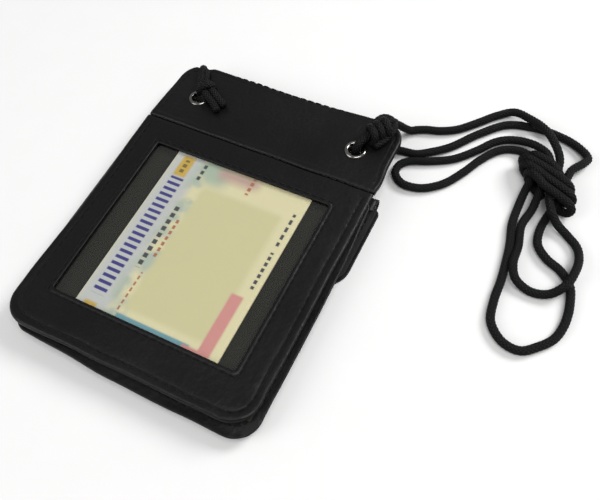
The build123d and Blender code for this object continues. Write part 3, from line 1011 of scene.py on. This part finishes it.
def strip(name, profile, low, high, steps, thick, axis):
    """A bent strip of leather: a profile swept along y or x, with real thickness."""
    dense = curve_through([(a, 0.0, b) for a, b in profile], 0.45)
    outline = []
    for k, p in enumerate(dense):
        t = (dense[min(k + 1, len(dense) - 1)] - dense[max(k - 1, 0)]).normalized()
        outline.append((p, Vector((-t.z, 0, t.x))))
    ring = [p + n * thick / 2 for p, n in outline] + [p - n * thick / 2 for p, n in reversed(outline)]
    loops = []
    for i in range(steps + 1):
        at = low + (high - low) * i / steps
        loops.append([(p.x, at, p.z) if axis == "y" else (at, p.x, p.z) for p in ring])
    verts, faces = skin(loops)
    n = len(ring)
    half = n // 2
    for base, flip in ((0, False), (steps * n, True)):
        for i in range(half - 1):
            quad = (base + i, base + i + 1, base + n - 2 - i, base + n - 1 - i)
            faces.append(tuple(reversed(quad)) if flip else quad)
    return make(name, verts, faces, BLACK)


def build_folds():
    """The two folds that the leaf and the rear flap turn on, made as bent strips of leather."""
    steps = 60
    spine_profile = [(-44.2, 5), (-46, 5.05), (-47, 5.9), (-47.1, 7.2), (-46.6, 8.1), (-45.2, 8.35)]
    spine = strip("spine_leather", spine_profile, -81, -1.5, steps, 0.8, "y")
    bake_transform(spine)
    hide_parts("spine_fold")
    flap_profile = [(-3.5, 4.3), (0.2, 4.35), (1.7, 3.9), (2.3, 2.7), (2.1, 1.5), (1.3, 0.75), (-1.0, 0.45)]
    fold = strip("flap_fold_leather", flap_profile, -46.2, 47, steps, 0.6, "x")
    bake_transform(fold)
    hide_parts("flap_fold")


# ---- rear flap

def build_flap():
    """The flap that closes the rear pocket: outer leather, lining and the stitches on both faces."""
    box = (-47.25, 48.6, -34.3, 0.4)
    counts = (34, 16, 8)

    def outer_face(x, y, inset):
        """Lower face, with its stitch groove."""
        return 0.06 + 0.12 * bump((inset - 3) / 0.5)

    piece = panel("rear_flap_leather", box, (8, 8, 3, 1.0), flat(0.66), outer_face, 0.28, BLACK, counts)
    place(piece, "rear_flap", "flap_leather")
    inner = panel("rear_flap_lining", (-46.2, 47.5, -33.2, 0.2), (7, 7, 1.0, 1.0), flat(0.92), flat(0.67),
                  0.11, LINING, counts)
    place(inner, "rear_flap", "flap_lining")
    line = corner_path((box[0], box[1], box[2], -1.0), 3, 5)
    inside = stitch_row("rear_flap_stitches", [line], lambda x, y: 0.92)
    place(inside, "rear_flap", "flap_stitching")
    under = stitch_row("rear_flap_outer_stitches", [line], lambda x, y: 0.40, -1.0)
    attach(under, "rear_flap")


# ---- cord

# Each line is the middle of a visible run of the cord; the runs meet inside the bundle. A point
# with no height of its own lies on the table.
UPPER = [(54, 40.7), (60, 43.9), (66, 50), (71, 55.5, 1.6), (76.5, 58.7, 2.6), (82.8, 56.3, 4.4),
         (89.5, 51.7, 6.7), (94.3, 47.1, 6.6), (98, 42, 5.2), (99, 33, LEVEL)]
SECOND = [(55, 30.4), (60.6, 35.2), (68, 45), (76, 52.9), (84, 55.1), (92, 55.3), (101.2, 53.2),
          (106.6, 48.8, 2.2), (105.8, 44.6, 3.7), (103, 39.5, LEVEL), (102.5, 33, LEVEL)]
MIDDLE = [(95.5, 33, LEVEL), (95.3, 40, LEVEL), (93.8, 42.8, LEVEL), (89.7, 45.6, 3.8),
          (84.5, 47, 2.6), (78.8, 46.4, 1.7), (74.5, 43.6), (70, 37.6), (63.5, 30.6), (55.9, 26.3),
          (49.6, 23.6), (46.9, 20.6), (47, 16.6), (50.8, 13.5), (57.5, 14.1), (64.1, 18.9),
          (68.8, 26.3), (72.8, 34.6), (77.4, 40.8), (82.4, 43.1), (87, 42.3, 2.3), (90.4, 39.2, 4),
          (92, 33, LEVEL)]
LARGE = [(102.5, 33, LEVEL), (102.5, 28.3, 4.3), (102, 24, 2.7), (100.9, 19, 1.5), (100.5, 13.5),
         (101.6, 8.2), (105.6, 4.2), (111.2, 1.5), (115.3, -2.4), (117.4, -9), (117.9, -16.4),
         (116.5, -22.4), (112.8, -27), (108.2, -30.5), (102.3, -29.8), (97, -24.8), (95.4, -17.2),
         (95.1, -9.8), (94.3, -2.3), (93.2, 4.9), (91.4, 12.4), (91, 20, 1.6), (91.2, 26.8, 3.2),
         (92, 33, LEVEL)]
SMALL = [(95.5, 33, LEVEL), (95.8, 27, 3.7), (95.6, 20.5, 1.9), (94.4, 13.4), (96, 5, 1.7),
         (96.7, -3.1, 3.1), (99.1, -7.6, 2.5), (104.8, -9.6), (110.5, -8.5, 2.4), (114.2, -4.6, 4.5),
         (115.4, 1, 4.6), (115.3, 7, 3), (113.4, 12, 1.8), (109.2, 15.4, 1.6), (105, 17.4, 3),
         (101.8, 19.8, 5.6), (99.9, 23.8, 5.7), (99, 28.5, 4.8), (99, 33, LEVEL)]
WRAP = [(98, 33.2, REST), (94, 34.5, REST), (90, 35.8, REST), (87, 37.3, 2.3), (86.1, 37.7, 4.6),
        (87.6, 37, 6.9), (92, 35.6, 7.65), (97, 34, 7.7), (101, 32.4, 7.6), (104.1, 31.3, 6.7),
        (105.2, 30.8, 4.6), (104.6, 30.6, 2.5), (102.6, 31.2, REST), (101.4, 31.9, REST)]


def coil(start, direction, radius, pitch, turns, lean=0.0):
    """Turns of cord wound side by side round a line; lean widens them towards the end."""
    across = Vector((-direction.y, direction.x, 0)).normalized()
    rise = direction.cross(across) * -1
    steps = 10
    phase = 0.6
    spots = []
    for k in range(int(turns * steps) + 1):
        angle = 2 * math.pi * k / steps + phase
        wide = radius * (1 + lean * k / (turns * steps))
        spots.append(start + direction * (pitch * k / steps) + across * wide * math.cos(angle)
                     + rise * wide * math.sin(angle))
    return [tuple(spot) for spot in spots]


def build_right_knot():
    """A fat knot from beside the eyelet to the upper corner, with a bight folded over the top.
    Returns the points where the cord leaves it."""
    stem = [(EYELET_X, EYELET_Y, 5.2), (EYELET_X, EYELET_Y, 9.5), (EYELET_X + 0.5, 15.6, 12),
            (34.6, 18.6, 13.1), (36.4, 22.6, 13.3), (38, 26.2, 13.2), (39.5, 29.6, 12.2), (40.6, 31.8, 9.6)]
    direction = Vector((7, 11, -0.4)).normalized()
    turns = coil(Vector((35.2, 19.4, 13.1)), direction, 2.6, 2.75, 3.1, 0.08)
    bight = [(35.2, 24.8, 12), (35.2, 27.8, 12.5), (36.6, 30.2, 12.2), (38.8, 30.9, 11.4),
             (40.7, 29.4, 11.3), (41.4, 26.4, 11.6), (41, 22.8, 11.8), (39.8, 19.6, 11.9),
             (38.4, 17.2, 11.7)]
    piece = cords("cord_knot_right", stem, turns, bight)
    place(piece, "window_leaf", "cord_right_knot")
    return [(40.2, 30.4, 10.8), (41.5, 32.5, 8), (43.2, 34.6, 4.6), (44.8, 36.5, 2.1)]


def build_left_knot():
    """Two strands side by side: out of the eyelet, over the upper edge and down behind the panel."""
    paths = []
    for side in (-1.0, 1.0):
        shift = Vector((0.85, -0.45, 0.0)) * CORD_R * side
        over = [(-30.6, 13.4, 7.6), (-31.4, 15.6, 10.8), (-33.2, 19, 11.2), (-35.4, 23.4, 10.4),
                (-36.9, 26.2, 10), (-37.9, 28, 8.9), (-38.2, 28.6, 7.3), (-37.7, 28, 5.7),
                (-36.4, 26.2, 5)]
        paths.append([tuple(Vector(p) + shift) for p in over])
        slide = Vector((0.45, 0.85, 0.0)) * CORD_R * side
        tail = [(-33.6, 20, 11.6), (-31, 18, 12.3), (-27.6, 15.8, 11.9), (-24.2, 13.8, 11.5),
                (-21, 11.7 + side * 0.4, 11.4)]
        paths.append([tuple(Vector(p) + slide) for p in tail])
    binding = coil(Vector((-32, 18.4, 11.6)), Vector((0.83, -0.55, 0.0)).normalized(), 2.6, 2.8, 1.2)
    piece = cords("cord_knot_left", *paths, binding)
    place(piece, "window_leaf", "cord_left_knot")


def build_cord():
    """Both knots, the runs that leave the head panel, the loops and the turns round them."""
    build_left_knot()
    lead = build_right_knot()
    first = cords("cord_upper_run", lead + [(46.8, 38.2), (50, 39.6)] + UPPER)
    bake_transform(first)
    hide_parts("cord_right_lead")

    back_run = [(-EYELET_X, EYELET_Y, 8.2), (-EYELET_X, EYELET_Y, 6.2), (-31.8, 14.6, 5),
                (-29, 15.4, 4.4), (-10, 19, 4.3), (15, 22.6, 4.3), (34, 25.2, 2.6),
                (46.5, 27), (50.5, 27.6)]
    second = cords("cord_second_run", back_run + SECOND)
    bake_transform(second)
    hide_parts("cord_left_lead")

    middle = cords("cord_middle_run", MIDDLE)
    large = cords("cord_large_loop", LARGE)
    small = cords("cord_small_loop", SMALL)
    # The other turns are the first one moved, with its two halves made shorter or longer.
    waist, new_waist, slant = 97.5, 96.8, 0.02
    turns = [WRAP]
    for down, left, right in ((3, 0.84, 1.3), (-3, 0.72, 0.45), (6.4, 0.62, 1.4)):
        turns.append([(new_waist + (x - waist) * (left if x < waist else right),
                       y - down * (1 + slant * (x - waist)), z) for x, y, z in WRAP])
    wrap = cords("cord_bundle_turns", *turns)
    for piece in (middle, large, small, wrap):
        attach(piece, "neck_cord")
    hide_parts("neck_cord")
    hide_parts("cord_bundle_wrap")


# ---- light, floor and camera

LAMP_TARGET = Vector((0.02, -0.02, 0.0))
CAMERA_PLACE = Vector((0.10357, -0.13262, 0.21849))
CAMERA_RIGHT = Vector((0.8903, 0.4478, -0.0817))
CAMERA_BACK = Vector((0.2912, -0.4223, 0.8584))
CAMERA_LENS = 44.45
FLOOR_HALF = 3.0


def area_light(name, spot, size, power):
    """A round soft lamp that looks at the wallet."""
    data = bpy.data.lights.new(name, "AREA")
    data.shape = "DISK"
    data.size = size
    data.energy = power
    lamp = bpy.data.objects.new(name, data)
    lamp.location = spot
    lamp.rotation_euler = (LAMP_TARGET - Vector(spot)).to_track_quat("-Z", "Y").to_euler()
    show(lamp)


def build_floor():
    """A plain floor just under the table plane."""
    mesh = bpy.data.meshes.new("floor")
    h = FLOOR_HALF
    mesh.from_pydata([(-h, -h, 0), (h, -h, 0), (h, h, 0), (-h, h, 0)], [], [(0, 1, 2, 3)])
    mesh.materials.append(floor_material())
    floor = bpy.data.objects.new("floor", mesh)
    floor.location.z = -0.0001
    show(floor)


def build_lights():
    """A white surround and three soft lamps."""
    world = bpy.data.worlds.new("studio")
    world.use_nodes = True
    surround = world.node_tree.nodes["Background"]
    surround.inputs[0].default_value = (1.0, 1.0, 1.0, 1.0)
    surround.inputs[1].default_value = 0.45
    bpy.context.scene.world = world
    area_light("key", (0.55, 0.65, 0.75), 0.5, 14)
    area_light("fill", (-0.6, -0.7, 0.7), 0.8, 7)
    area_light("top", (0.35, -0.25, 1.1), 0.7, 10)


def build_camera():
    """The camera, from the directions of its right side and its back."""
    data = bpy.data.cameras.new("camera")
    data.lens = CAMERA_LENS
    data.sensor_width = 36
    data.clip_start = 0.01
    camera = bpy.data.objects.new("camera", data)
    back = CAMERA_BACK.normalized()
    up = back.cross(CAMERA_RIGHT.normalized()).normalized()
    right = up.cross(back)
    turn = Matrix((right, up, back)).transposed()
    camera.matrix_world = Matrix.Translation(CAMERA_PLACE) @ turn.to_4x4()
    show(camera)
    bpy.context.scene.camera = camera
    bpy.context.scene.view_settings.view_transform = "Standard"


build_back()
build_rear_pocket()
build_patches()
build_eyelets()
build_back_stitches()
build_leaf()
build_head()
build_leaf_layers()
build_card()
build_folds()
build_flap()
build_cord()
build_floor()
build_lights()
build_camera()
